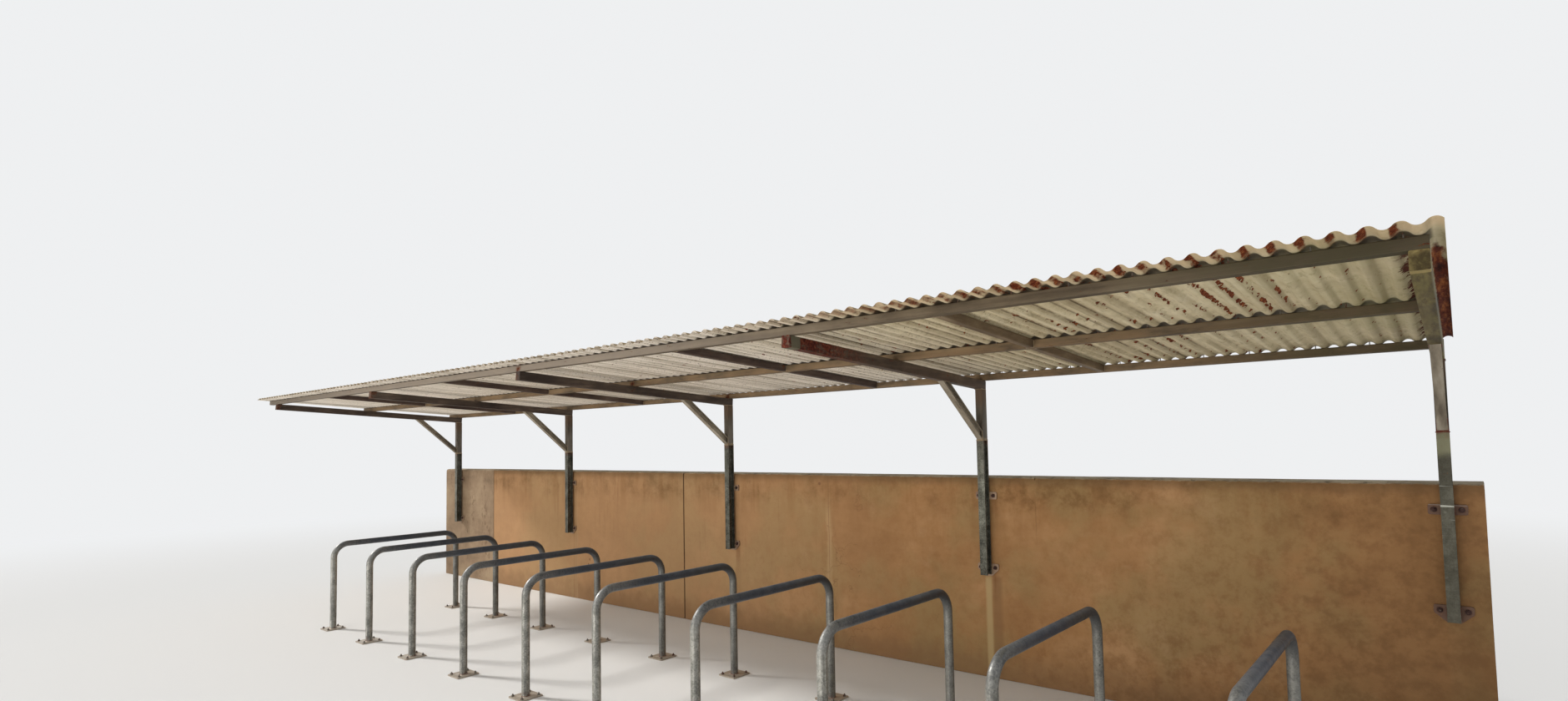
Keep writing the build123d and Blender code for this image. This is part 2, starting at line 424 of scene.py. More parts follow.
    # Bare concrete on the back and mortar on the top edge
    raw = f.blend((mottle, 0.6), (runs, 0.4))
    raw = f.ramp(raw, (0.36, 112, 108, 100), (0.52, 142, 137, 128), (0.66, 166, 161, 150))
    pores = f.rising(f.cells(70), 0.16, 0.10)
    raw = f.over(raw, (84, 80, 74), pores, f.rising(mottle, 0.45, 0.6), 0.8)
    behind = f.rising(f.wavy(f.y, mottle, 0.03), wall_y + 0.035, wall_y + 0.050)
    f.lay(raw, behind)
    chipped = f.noise(28, detail=5, rough=0.7)
    rim = f.rising(f.wavy(f.z, chipped, 0.022), wall_top - 0.002, wall_top + 0.008)
    mortar = f.ramp(mottle, (0.35, 142, 128, 104), (0.65, 184, 170, 144))
    dark = f.rising(f.noise(14, detail=6, rough=0.7), 0.50, 0.66)
    mortar = f.over(mortar, (92, 80, 62), dark, 0.8)
    f.lay(mortar, rim)
    roughness = f.plus(f.rising(mottle, 0.2, 0.8, most=0.12), 0.82)
    height = f.blend((grain, 0.0007), (mottle, 0.0030), (trowel, 0.0016))
    height = f.plus(height, f.times(crack, -0.0012), f.times(pores, behind, -0.004), f.times(chips, -0.002))
    return f.done(roughness, height)


def zinc(f, dark, plain, bright):
    """Dull galvanising: spangle, soft runs and white rust."""
    f.mottle = f.noise(16, detail=5, rough=0.6)
    patch = f.noise(3.2, detail=4)
    runs = f.noise(1, detail=5, rough=0.6, stretch=(60, 60, 2.2))
    f.spangle = f.node("SeparateColor", {0: f.cells(150, out="Color")}, out="Red")
    blend = f.blend((f.mottle, 0.4), (patch, 0.3), (f.spangle, 0.12), (runs, 0.2))
    f.colour = f.ramp(blend, (0.40, *dark), (0.52, *plain), (0.66, *bright))
    white = f.rising(f.noise(22, detail=6, rough=0.7, shift=(5, 1, 3)), 0.61, 0.70)
    f.lay((164, 164, 150), white, 0.5)
    f.lay((66, 64, 54), f.rising(runs, 0.55, 0.66), 0.5)


def rust_tone(f, scale=90):
    """Dark and light brown rust."""
    return f.ramp(f.noise(scale, detail=5, rough=0.7),
                  (0.34, 60, 34, 24), (0.52, 98, 56, 36), (0.68, 136, 86, 52))


def zinc_done(f, rust, shine, gloss, rough):
    """Rust on the zinc, which is duller and rougher there."""
    f.lay(rust_tone(f), rust)
    roughness = f.plus(f.rising(f.mottle, 0.35, 0.7, most=-gloss), f.times(rust, 0.3), rough)
    height = f.blend((f.mottle, 0.0004), (f.spangle, 0.00004), (rust, f.noise(220), 0.0007))
    return f.done(roughness, height, f.rising(rust, 0.6, 0.1, most=shine))


def post_zinc(n):
    """Galvanised post with burnt zinc at its weld, grime, and rust round the bolts of its lugs."""
    f = Finish(f"post_zinc_{n + 1}", specular=0.45)
    # The posts' zinc is darker than the hoops' zinc: painted shade
    zinc(f, (54, 53, 45), (88, 87, 76), (126, 125, 112))
    x, weld = post_x[n], weld_z[n]
    # The first post is greener and darker, the darkening being painted shade, pale just below its weld, and
    # scratched
    if n == 0:
        f.lay((66, 62, 48), 0.72)
        pale = f.times(f.rising(f.wavy(f.z, f.mottle, -0.06), weld - 0.15, weld - 0.11), 0.6)
        f.lay((136, 134, 104), pale)
        scratch = f.noise(1, detail=2, stretch=(2, 2, 90), shift=(3, 3, 3))
        scratch = f.times(f.rising(scratch, 0.66, 0.69), f.near(f.z, 1.20, 0.10, 0.08))
        f.lay((176, 176, 164), scratch, 0.8)
    grime = f.rising(f.wavy(f.z, f.mottle, 0.20), 0.90, 0.72)
    f.lay((66, 58, 46), grime, 0.35)
    burn = f.times(f.near(f.z, weld, 0.012, 0.030), f.rising(f.mottle, 0.36, 0.60), 0.6)
    spots = f.rising(f.noise(34, detail=6, rough=0.7, shift=(2, 7, 1)), 0.66, 0.73)
    rust = f.larger(burn, spots)
    lug = f.rising(f.y, wall_y - lug_gauge - 0.003, wall_y - lug_gauge - 0.001)
    f.lay((104, 72, 56) if n == 0 else (168, 138, 112), lug, 0.7)
    off = f.math("ABSOLUTE", f.math("SUBTRACT", f.x, x))
    for z in (upper_lug, lower_lug):
        round_bolt = f.times(f.near(off, lug_reach, 0.006, 0.010), f.near(f.z, z, 0.006, 0.010))
        rust = f.larger(rust, f.times(lug, round_bolt, f.rising(f.mottle, 0.20, 0.45)))
        edge = f.times(lug, f.near(f.z, z, 0.03, 0.004), f.rising(f.mottle, 0.50, 0.66), 0.5)
        rust = f.larger(rust, edge)
    return zinc_done(f, rust, shine=0.45, gloss=0.12, rough=0.60)


def hoop_zinc():
    """Galvanised tube, dark along the top bar from handling and from painted shade of the roof, rusty and
    dirty at the ground.
    """
    f = Finish("hoop_zinc", specular=0.45)
    zinc(f, (104, 103, 97), (144, 142, 134), (178, 176, 167))
    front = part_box("bike_hoop_01")[0].y
    # The top bar is darker behind its front bend: handling wear and painted shade under the roof
    high = f.rising(f.wavy(f.z, f.mottle, 0.06), 0.60, 0.76)
    behind = f.rising(f.wavy(f.y, f.mottle, 0.30), front + 0.12, front + 0.62, most=0.55)
    handled_and_shaded = f.times(high, f.plus(behind, 0.35))
    f.lay((52, 59, 72), handled_and_shaded)
    # The rear legs are painted darker: painted shade under the roof
    painted_rear_shade = f.rising(f.y, front + 0.6, front + 0.9, most=0.5)
    f.lay((72, 70, 66), painted_rear_shade)
    chips = f.rising(f.noise(60, detail=3, shift=(9, 2, 4)), 0.69, 0.72)
    f.lay((34, 32, 30), chips, 0.8)
    dusty = f.rising(f.z, foot_gauge + 0.006, foot_gauge + 0.001)
    f.lay((184, 172, 156), dusty, 0.8)
    creep = f.rising(f.wavy(f.z, f.mottle, 0.10), 0.10, 0.045)
    rust = f.times(creep, f.rising(f.noise(26, detail=6, rough=0.7, shift=(1, 1, 4)), 0.50, 0.62), 0.75)
    rust = f.times(rust, f.plus(f.times(dusty, -0.6), 1.0))
    spots = f.rising(f.noise(34, detail=6, rough=0.7, shift=(2, 7, 1)), 0.67, 0.73)
    rust = f.larger(rust, f.times(spots, 0.7))
    return zinc_done(f, rust, shine=0.5, gloss=0.16, rough=0.54)


def frame_paint(name, dark, plain, bright, grain):
    """Worn brown-grey coat on the frame, its streaks along the piece's grain."""
    f = Finish(name, specular=0.15)
    long = tuple(1.0 if g > 10 else 0.28 for g in grain)
    f.mottle = f.noise(14, detail=6, rough=0.62, stretch=long)
    cloud = f.noise(2.4, detail=4)
    f.streak = f.noise(1, detail=5, rough=0.6, stretch=grain)
    blend = f.blend((f.mottle, 0.45), (cloud, 0.25), (f.streak, 0.30))
    f.colour = f.ramp(blend, (0.40, *dark), (0.51, *plain), (0.62, *bright))
    f.lay((146, 132, 108), f.rising(f.upward(), 0.5, 0.95), f.rising(f.mottle, 0.30, 0.60), 0.6)
    f.fine = f.noise(48, detail=6, rough=0.7, stretch=long, shift=(3, 1, 5))
    f.rust = f.rising(f.fine, 0.63, 0.69)
    return f


def coat_done(f, rust=None):
    """Rust on the frame's coat, in its usual tone or another."""
    f.lay(rust or rust_tone(f, 120), f.rust)
    roughness = f.plus(f.rising(f.mottle, 0.3, 0.7, most=0.14), f.times(f.rust, 0.22), 0.58)
    height = f.blend((f.mottle, 0.0006), (f.streak, 0.0002), (f.rust, f.noise(260), 0.0012))
    return f.done(roughness, height)


def plain_coat(name, dark, plain, bright, grain):
    return coat_done(frame_paint(name, dark, plain, bright, grain))


def purlin_coat():
    """The frame's coat, with algae and dirt where the purlins meet the first arm."""
    f = frame_paint("purlin_coat", (72, 62, 49), (96, 84, 67), (122, 109, 89), (1.6, 34, 34))
    front_face = f.rising(f.y, face_y + front_row + 0.006, face_y + front_row - 0.010)
    inner = f.rising(f.y, face_y + front_row + 0.03, face_y + front_row + 0.05)
    f.lay((132, 106, 76), inner, f.rising(f.mottle, 0.25, 0.65), 0.6)
    # The front face is painted paler towards the left as painted light, and darker again at the far end
    left = f.rising(f.x, post_x[0] - 1.4, post_x[1] - 1.6)
    f.lay((152, 141, 128), front_face, left, 0.62)
    last = f.rising(f.x, post_x[3] + 0.6, post_x[4], most=0.5)
    f.lay((98, 88, 76), front_face, last)
    close = f.rising(f.wavy(f.x, f.mottle, 0.6), post_x[0] - 0.90, post_x[0] + 0.10)
    f.lay((68, 63, 45), close, f.rising(f.mottle, 0.30, 0.56), 0.85)
    # Rust in the splice over the middle arm
    gap = f.times(f.near(f.x, post_x[2], 0.010, 0.030), f.rising(f.fine, 0.35, 0.55))
    f.rust = f.larger(f.rust, gap)
    return coat_done(f)


def head_coat(n):
    """Coat of a post's head: brown under the arm, greyer down at the weld."""
    f = frame_paint(f"head_coat_{n + 1}", (66, 59, 49), (90, 82, 70), (118, 109, 94), (34, 34, 1.6))
    brown = f.rising(f.wavy(f.z, f.mottle, 0.08), 1.74, 1.86)
    f.lay((100, 76, 58), brown, 0.6)
    if n == 0:
        # The first post's head is painted darker: painted shade
        f.lay((58, 54, 40), f.rising(f.mottle, 0.28, 0.60, most=0.85))
    else:
        grey = f.rising(f.wavy(f.z, f.mottle, 0.10), 1.86, 1.66)
        f.lay((124, 117, 108), grey, f.rising(f.mottle, 0.25, 0.60), 0.6)
    low = f.near(f.z, weld_z[n] + 0.004, 0.006, 0.010)
    if n == 0:
        f.rust = f.larger(f.rust, f.times(low, f.rising(f.fine, 0.25, 0.45)))
    else:
        f.lay((158, 140, 112), low, f.rising(f.fine, 0.30, 0.55), 0.8)
        f.rust = f.larger(f.rust, f.times(low, f.rising(f.fine, 0.52, 0.60), 0.6))
    return coat_done(f)


def arm_coat(n):
    """Coat of an arm; the second one is rusty for a third of its length, the first one mossy, with painted
    shade on its tip's end face and a painted highlight just behind it, and the last three darker with painted
    shade.
    """
    front = roof_y(front_row - purlin / 2)
    if n == 0:
        f = frame_paint("arm_coat_1", (68, 60, 38), (106, 95, 64), (140, 129, 90), (26, 1.2, 26))
        moss = f.rising(f.noise(7, detail=5, rough=0.65, stretch=(1, 0.14, 1), shift=(4, 4, 4)), 0.42, 0.62)
        f.lay((132, 121, 68), moss, 0.7)
        spots = f.rising(f.noise(24, detail=7, rough=0.72, stretch=(1, 0.14, 1), shift=(1, 8, 2)), 0.44, 0.62)
        f.lay((62, 52, 34), spots, 0.7)
        # The tip's end face is painted dark in patches: painted shade
        end = f.rising(f.y, front + 0.007, front + 0.003)
        f.lay((62, 51, 29), end, f.rising(f.fine, 0.20, 0.55), 0.95)
        # A pale band just behind the tip: painted highlight on the corner
        painted_corner_highlight = f.near(f.plus(f.y, f.times(f.mottle, 0.03), -0.015), front + 0.020, 0.014, 0.010)
        f.lay((166, 148, 96), painted_corner_highlight, 0.7)
        return coat_done(f)
    if n == 1:
        f = frame_paint("arm_coat_2", (72, 60, 51), (94, 79, 66), (122, 105, 88), (34, 1.6, 34))
    else:
        # Arms three to five have a darker coat: painted shade on their sides
        f = frame_paint(f"arm_coat_{n + 1}", (60, 51, 46), (80, 69, 61), (106, 93, 82), (34, 1.6, 34))
    reach = 0.66 if n == 1 else 0.022
    clots = f.noise(30, detail=7, rough=0.75, stretch=(1, 0.5, 1), shift=(5, 5, 2))
    away = f.plus(f.y, f.times(f.noise(9, detail=6, rough=0.68), -0.26), 0.11)
    spread = f.times(f.rising(away, front + reach, front + 0.30 * reach), f.rising(clots, 0.36, 0.52))
    red = f.ramp(f.noise(70, detail=6, rough=0.75),
                 (0.38, 56, 24, 20), (0.52, 90, 38, 28), (0.64, 134, 76, 52))
    if n > 1:
        spread = f.times(spread, f.rising(f.noise(9, shift=(2, 2, 2)), 0.42, 0.56), 0.7)
        red = rust_tone(f, 120)
    else:
        # A bare patch just behind the tip
        ragged = f.plus(f.y, f.times(f.noise(40, detail=5, rough=0.7), 0.03), -0.015)
        patch = f.near(ragged, front + 0.040, 0.028, 0.008)
        f.lay((104, 100, 82), patch, 0.9)
        spread = f.times(spread, f.rising(patch, 1.0, 0.15))
    f.rust = f.larger(f.rust, spread)
    return coat_done(f, red)


def sheet_coat():
    """Weathered cream coat: dirt and painted shade in the waves, painted light at the front edge and to the
    left, rust beads, and blots at the front edge and the first arm.
    """
    f = Finish("sheet_coat", specular=0.15)
    mottle = f.noise(9, detail=6, rough=0.62)
    cloud = f.noise(1.6, detail=4)
    runs = f.noise(1, detail=5, rough=0.6, stretch=(26, 1.4, 1.4))
    fine = f.noise(60, detail=6, rough=0.7)
    across = f.times(f.math("SUBTRACT", roof_right, f.x), 1 / pitch)
    turn = f.math("FRACT", across)
    # A dirtiness of its own for each wave
    each = f.node("TexWhiteNoise", {"W": f.math("FLOOR", across)}, out="Value", noise_dimensions="1D")
    top = f.rising(f.upward(), -0.05, 0.05)
    below = f.rising(top, 0.5, 0.2)
    front = roof_y(sheet_front)
    middle = roof_y(middle_row)
    arm = post_x[0]
    blend = f.blend((mottle, 0.4), (cloud, 0.35), (runs, 0.25))
    under = f.ramp(blend, (0.38, 190, 175, 142), (0.52, 214, 201, 167), (0.66, 230, 219, 190))
    mould = f.noise(30, detail=7, rough=0.75, stretch=(1, 0.4, 1), shift=(7, 7, 3))
    under = f.over(under, (146, 133, 98), f.rising(mould, 0.50, 0.66, most=0.5))
    # The front edge is painted warmer and paler: painted sunlight
    painted_edge_light = f.rising(f.y, front + 0.14, front + 0.04, most=0.5)
    under = f.over(under, (224, 190, 150), painted_edge_light)
    # Towards the left the underside is painted paler: painted light from below
    left = f.rising(f.wavy(f.x, cloud, 1.2), arm - 0.9, arm - 2.7, most=0.9)
    under = f.over(under, (246, 238, 226), left)
    above = f.ramp(blend, (0.38, 146, 126, 94), (0.52, 180, 160, 126), (0.66, 202, 186, 156))
    # Dirt and painted shade on the flanks, and a thin dark line down each wave away from the first arm
    flank = f.near(turn, 0.50, 0.05, 0.14)
    under = f.over(under, (132, 116, 84), flank, f.rising(runs, 0.35, 0.65), 0.5)
    dull = f.times(f.rising(each, 0.45, 1.0), f.near(turn, 0.62, 0.16, 0.16), 0.4)
    under = f.over(under, (136, 120, 92), dull)
    broken = f.rising(f.noise(1, detail=6, rough=0.7, stretch=(24, 3, 3)), 0.40, 0.56)
    line = f.times(f.near(turn, 0.455, 0.020, 0.026), broken, f.rising(f.x, arm - 0.6, arm - 1.3))
    line = f.times(line, f.plus(f.times(each, 0.8), 0.2))
    under = f.over(under, (76, 59, 42), line, 0.9)
    specks = f.times(f.rising(f.noise(85, detail=4, rough=0.7), 0.56, 0.64), f.near(turn, 0.48, 0.10, 0.12))
    under = f.over(under, (104, 84, 58), specks, f.rising(f.x, arm - 0.8, arm - 1.6), 0.65)
    # Painted shade and dirt where the sheets lie on the front and middle purlins, and just behind
    inside = f.rising(f.x, arm + 0.035, arm + 0.025, most=0.85)
    for row in (front_row, middle_row):
        purlin_shade_and_dirt = f.near(f.y, roof_y(row) + 0.030, purlin / 2 + 0.024, 0.014)
        under = f.over(under, (62, 50, 37), purlin_shade_and_dirt, inside)
    trough = f.near(turn, 0.75, 0.10, 0.15)
    above = f.over(above, (96, 80, 58), trough, f.rising(mottle, 0.35, 0.62), 0.7)
    f.colour = f.over(under, above, top)
    # Green bloom on the underside next to the first arm
    f.lay((148, 142, 90), f.rising(f.x, arm - 0.85, arm - 0.10), f.rising(cloud, 0.36, 0.60), below, 0.4)
    # Rows of rust beads under the first bay
    clots = f.noise(34, detail=5, rough=0.6, stretch=(1, 0.55, 1), shift=(0.3, 0.4, 0))
    sway = f.plus(turn, f.times(f.noise(20, detail=3), 0.20), -0.10)
    beads = f.near(sway, 0.46, 0.06, 0.08)
    dense = f.times(f.near(f.x, arm - 0.56, 0.11, 0.05), f.near(f.y, (front + middle) / 2, 0.40, 0.10))
    thin = f.rising(f.noise(4, detail=3, shift=(1, 1, 6)), 0.44, 0.54, most=0.8)
    thin = f.times(f.near(f.x, arm - 1.05, 0.32, 0.25), thin, 0.6)
    beads = f.plus(clots, f.times(beads, 0.30), f.times(f.larger(dense, thin), 0.19))
    rust = f.rising(beads, 0.93, 0.96)
    # One blot a wave along the front edge, strongest at the right
    stain = f.noise(30, detail=5, rough=0.6, stretch=(1, 0.4, 1), shift=(2, 2, 2))
    stain = f.wavy(stain, f.noise(11, detail=2, shift=(6, 2, 2)), 0.5)
    stain = f.plus(stain, f.rising(f.x, arm - 1.8, arm, most=0.09), -0.02)
    stain = f.plus(stain, f.times(f.near(turn, 0.48, 0.04, 0.20), 0.32), -0.32)
    blot = f.plus(f.rising(stain, 0.60, 0.68, most=0.5), f.rising(stain, 0.68, 0.78, most=0.5))
    edge = f.times(f.rising(f.wavy(f.y, fine, 0.08), front + 0.17, front + 0.11), blot)
    edge = f.times(edge, f.rising(f.x, arm - 2.6, arm - 1.4))
    edge = f.times(edge, f.rising(f.x, arm + 0.01, arm - 0.05))
    rust = f.larger(rust, f.times(edge, below))
    red = f.ramp(f.noise(80, detail=6, rough=0.75),
                 (0.38, 66, 27, 15), (0.52, 116, 53, 28), (0.64, 172, 108, 66))
    f.lay(red, rust)
    # Dark flakes beside the first arm, and solid rust beyond it towards the back
    fringe = f.noise(1, detail=6, rough=0.72, stretch=(12, 17, 12), shift=(5, 2, 2))
    fringe = f.rising(f.plus(f.x, f.times(fringe, 0.16), -0.08), arm - 0.052, arm - 0.044)
    flakes = f.rising(f.noise(1, detail=6, rough=0.7, stretch=(60, 14, 60), shift=(5, 2, 2)), 0.35, 0.42)
    flakes = f.times(flakes, fringe, f.rising(f.x, arm + 0.02, arm))
    flakes = f.times(flakes, f.rising(f.y, front + 0.12, front + 0.22), below)
    end = f.rising(f.wavy(f.x, fine, 0.010), arm + 0.024, arm + 0.030)
    far = f.noise(12, detail=6, rough=0.65, stretch=(1, 0.2, 1), shift=(2, 4, 4))
    far = f.plus(f.y, f.times(far, 1.4), f.rising(f.x, arm + 0.13, arm + 0.03, most=0.60))
    far = f.rising(far, front + 1.62, front + 1.84)
    end = f.times(end, far, below)
    scale = f.noise(26, detail=7, rough=0.75, stretch=(1, 0.12, 1), shift=(3, 6, 1))
    scale = f.ramp(scale, (0.40, 54, 20, 12), (0.50, 100, 42, 21), (0.62, 166, 100, 54))
    f.lay(scale, end, f.rising(fine, 0.22, 0.40))
    f.lay((84, 30, 20), flakes, 0.95)
    spots = f.rising(f.noise(26, detail=6, rough=0.7, shift=(8, 3, 1)), 0.67, 0.73)
    spots = f.times(spots, f.plus(f.times(top, 0.75), 0.15))
    f.lay(rust_tone(f), spots)
    rust = f.larger(f.larger(rust, spots), f.larger(end, flakes))
    roughness = f.plus(f.rising(mottle, 0.3, 0.7, most=0.14), f.times(rust, 0.2), 0.62)
    height = f.blend((mottle, 0.0005), (fine, 0.0002), (rust, f.noise(240), 0.0012))
    return f.done(roughness, height)


def small_metal(name, plain, rusty, amount):
    """Bolts, screws and weld beads: plated steel with rust in patches."""
    f = Finish(name, specular=0.5)
    fine = f.noise(150, detail=5, rough=0.7)
    patch = f.noise(28, detail=4)
    rust = f.blend((fine, 0.5), (patch, 0.5))
    rust = f.rising(rust, 0.62 - amount * 0.3, 0.68 - amount * 0.25)
    metal = f.ramp(fine, (0.35, *plain), (0.65, *plain, 1.5))
    brown = f.ramp(f.noise(260), (0.35, *rusty), (0.65, *rusty, 2.0))
    f.colour = f.over(metal, brown, rust)
    metallic = f.rising(rust, 0.6, 0.1, most=0.7)
    roughness = f.plus(f.times(rust, 0.35), f.times(fine, 0.15), 0.38)
    return f.done(roughness, f.times(fine, 0.0004), metallic)


def joint_board():
    """Bituminous board that fills the wall's joints."""
    f = Finish("joint_board", specular=0.2)
    fibre = f.noise(90, detail=5, rough=0.7)
    f.colour = f.ramp(fibre, (0.35, 34, 29, 25), (0.65, 66, 56, 46))
    return f.done(f.plus(f.times(fibre, 0.1), 0.85), f.times(fibre, 0.001))


wall_finish = wall_paint()
tube_finish = hoop_zinc()
purlin_finish = purlin_coat()
# Rafters two to four have a darker coat than the first: painted shade on their sides
rafter_finish = plain_coat("rafter_coat", (60, 49, 45), (82, 68, 61), (108, 95, 84), (34, 1.6, 34))
first_rafter_finish = plain_coat("first_rafter_coat", (84, 70, 54), (112, 95, 74), (140, 122, 98),
                                 (34, 1.6, 34))
brace_finish = plain_coat("brace_coat", (106, 97, 84), (144, 134, 118), (174, 165, 149), (30, 5, 5))
sheet_finish = sheet_coat()
bolt_metal = small_metal("bolt_metal", (112, 108, 100), (70, 42, 30), amount=0.45)
anchor_metal = small_metal("anchor_metal", (84, 72, 62), (52, 30, 24), amount=0.8)
weld_metal = small_metal("weld_metal", (146, 130, 106), (86, 56, 40), amount=0.25)
rusty_weld = small_metal("rusty_weld", (104, 84, 66), (92, 46, 34), amount=0.7)
screw_metal = small_metal("screw_metal", (128, 124, 116), (84, 52, 34), amount=0.5)


# Wall panels of rendered concrete, a little uneven, with a crumbling top edge
joint_half = 0.003


def make_panel(number):
    low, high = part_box(f"wall_panel_{number}")
    skin = 0.0015
    shut = 0.0002
    courses = 47
    worn = 0.022
    # The first joint is painted shut, the others are open by 6 mm
    x0 = low.x + {1: shut, PANELS: skin}.get(number, joint_half)
    x1 = high.x - {1: skin, 2: shut}.get(number, joint_half)
    size = Vector((x1 - x0, high.y - low.y - 2 * skin, high.z - 2 * skin))
    middle = Vector(((x0 + x1) / 2, (low.y + high.y) / 2, high.z / 2))
    panel = fresh(bpy.ops.mesh.primitive_cube_add, f"rendered_panel_{number}", size=1, location=middle,
                  scale=size)
    with editing(panel):
        # The long edges are divided first, then the finer courses near the top
        choose("EDGE", lambda e: along(e, 2))
        bpy.ops.mesh.subdivide(number_cuts=courses - 1)
        choose("EDGE", lambda e: along(e, 1))
        bpy.ops.mesh.subdivide(number_cuts=7)
        for _ in range(2 if size.x > 1.5 else 1):
            choose("EDGE", lambda e: along(e, 0))
            bpy.ops.mesh.subdivide(number_cuts=11)
        crown = high.z - size.z / courses * 1.5
        choose("EDGE", lambda e: along(e, 2) and max(v.co.z for v in e.verts) > crown)
        bpy.ops.mesh.subdivide(number_cuts=3)
    arris = panel.vertex_groups.new(name="arris")
    for vertex in panel.data.vertices:
        down = high.z - skin - vertex.co.z
        across = min(vertex.co.y - middle.y + size.y / 2, middle.y + size.y / 2 - vertex.co.y)
        arris.add([vertex.index], max(0.0, 1 - (down + across) / worn), "REPLACE")
    dented(panel, "render_waves", size=0.35, strength=0.0028, texture_coords="GLOBAL")
    dented(panel, "edge_crumbs", size=0.030, strength=0.026, depth=3, mid_level=0.92,
           texture_coords="GLOBAL", vertex_group="arris")
    smooth(panel, 35)
    dressed(panel, wall_finish, "wall_concrete", f"wall_panel_{number}")


for number in range(1, PANELS + 1):
    make_panel(number)


# Boards in the joints between the panels
def make_joint_board(number, finish):
    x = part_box(f"wall_panel_{number}")[0].x
    thickness = 0.0062
    set_back = 0.030
    off_ground = 0.002
    below_top = 0.008
    board = fresh(bpy.ops.mesh.primitive_cube_add, f"joint_board_{number}", size=1,
                  location=(x, (wall_y + wall_back) / 2, (wall_top - below_top + off_ground) / 2),
                  scale=(thickness, wall_back - wall_y - 2 * set_back, wall_top - below_top - off_ground))
    with editing(board):
        choose("EDGE", lambda e: along(e, 2))
        bpy.ops.mesh.subdivide(number_cuts=60)
    dented(board, "board_fray", size=0.02, strength=0.003, mid_level=0.6, texture_coords="GLOBAL",
           direction="Y")
    dressed(board, finish, "wall_concrete")


board_finish = joint_board()
for number in range(2, PANELS):
    make_joint_board(number, board_finish)


# Corrugated sheets: a line of points spun into a trough and a crest, then repeated
def make_wave():
    """One trough and one crest, each an arc, starting halfway up a flank."""
    arc = ((pitch / 4) ** 2 + (corrugation / 2) ** 2) / corrugation
    sweep = 2 * math.asin(pitch / 4 / arc)
    centre = corrugation / 2 - arc
    length = sheet_back - sheet_front
    wave = fresh(bpy.ops.mesh.primitive_grid_add, "sheet_wave", x_subdivisions=1, y_subdivisions=30,
                 size=length, location=(length / 2, (sheet_front + sheet_back) / 2, 0))
    with editing(wave):
        choose("VERT", lambda v: v.co.x > length / 2)
        bpy.ops.mesh.delete(type="VERT")
        bpy.ops.mesh.select_all(action="SELECT")
        bpy.ops.mesh.spin(steps=6, angle=sweep, center=(pitch / 4, 0, -centre), axis=(0, 1, 0))
        bpy.ops.mesh.spin(steps=6, angle=-sweep, center=(3 * pitch / 4, 0, centre), axis=(0, 1, 0))
        bpy.ops.mesh.select_all(action="SELECT")
        bpy.ops.mesh.normals_make_consistent(inside=False)
    return wave


def make_sheet(number, wave):
    """One sheet, lapped by a wave under its left neighbour's edge, except the last one."""
    laps = waves + (1 if number < SHEETS else 0)
    width = waves * pitch
    left = roof_right - number * width - (laps - waves) * pitch
    lap_rise = 0.0008
    clear = 0.0001
    sheet = copied(wave, f"corrugated_sheet_{number:02d}", Matrix.Identity(4))
    repeated(sheet, laps, pitch, use_merge_vertices=True, merge_threshold=0.0005)
    dented(sheet, "sheet_sag", size=0.11, strength=0.0007, texture_coords="LOCAL", direction="Z")
    shaped(sheet, "SOLIDIFY", thickness=sheet_gauge, offset=0)
    lean = Matrix.Rotation(math.atan2(lap_rise, width), 4, "Y")
    creep = random.uniform(-0.003, 0.003)
    tilt = Matrix.Rotation(-slope, 4, "X")
    place = Matrix.Translation(on_roof(left, creep, sheet_mid + clear)) @ tilt @ lean
    sheet.matrix_world = place
    settle(sheet)
    smooth(sheet, 50)
    dressed(sheet, sheet_finish, "roof_sheet", f"roof_sheet_{number:02d}")


wave = make_wave()
for number in range(1, SHEETS + 1):
    make_sheet(number, wave)
bpy.data.objects.remove(wave)


# Fasteners, each modelled once, pointing along +Z from the face it sits on
def make_hex(name, across, height, at_z, bevel):
    head = fresh(bpy.ops.mesh.primitive_cylinder_add, name, vertices=6, radius=across / math.sqrt(3),
                 depth=height, location=(0, 0, at_z + height / 2))
    with editing(head):
        choose("FACE", lambda f: f.normal.z > 0.9)
        bpy.ops.mesh.inset(thickness=across * 0.10, depth=0)
        bpy.ops.transform.translate(value=(0, 0, height * 0.04))
        choose("EDGE", lambda e: abs(e.verts[0].co.z - e.verts[1].co.z) < 1e-6)
        bpy.ops.mesh.bevel(offset=bevel, segments=1)
    return head


def make_washer(name, radius, height, dome):
    washer = fresh(bpy.ops.mesh.primitive_cylinder_add, name, vertices=20, radius=radius, depth=height,
                   location=(0, 0, height / 2))
    with editing(washer):
        choose("FACE", lambda f: f.normal.z > 0.9)
        bpy.ops.mesh.inset(thickness=radius * 0.35, depth=dome)
    return washer


def make_stud(name, radius, length, threads):
    """A threaded end: rings of points drawn in by turns."""
    stud = fresh(bpy.ops.mesh.primitive_cylinder_add, name, vertices=12, radius=radius, depth=length,
                 location=(0, 0, length / 2))
    with editing(stud):
        choose("EDGE", lambda e: along(e, 2))
        bpy.ops.mesh.subdivide(number_cuts=2 * threads - 1)
        step = length / (2 * threads)
        choose("VERT", lambda v: round(v.co.z / step) % 2 == 1)
        bpy.ops.transform.resize(value=(0.86, 0.86, 1))
        choose("FACE", lambda f: f.normal.z > 0.9)
        bpy.ops.mesh.inset(thickness=radius * 0.2, depth=radius * 0.15)
    return stud


def make_anchor():
    """Expansion bolt: washer, nut and the end of the stud."""
    return joined([make_washer("anchor_washer", radius=0.0125, height=0.0025, dome=0.0002),
                   make_hex("anchor_nut", across=0.018, height=0.009, at_z=0.0025, bevel=0.0009),
                   make_stud("anchor_stud", radius=0.0058, length=0.021, threads=8)], "anchor")


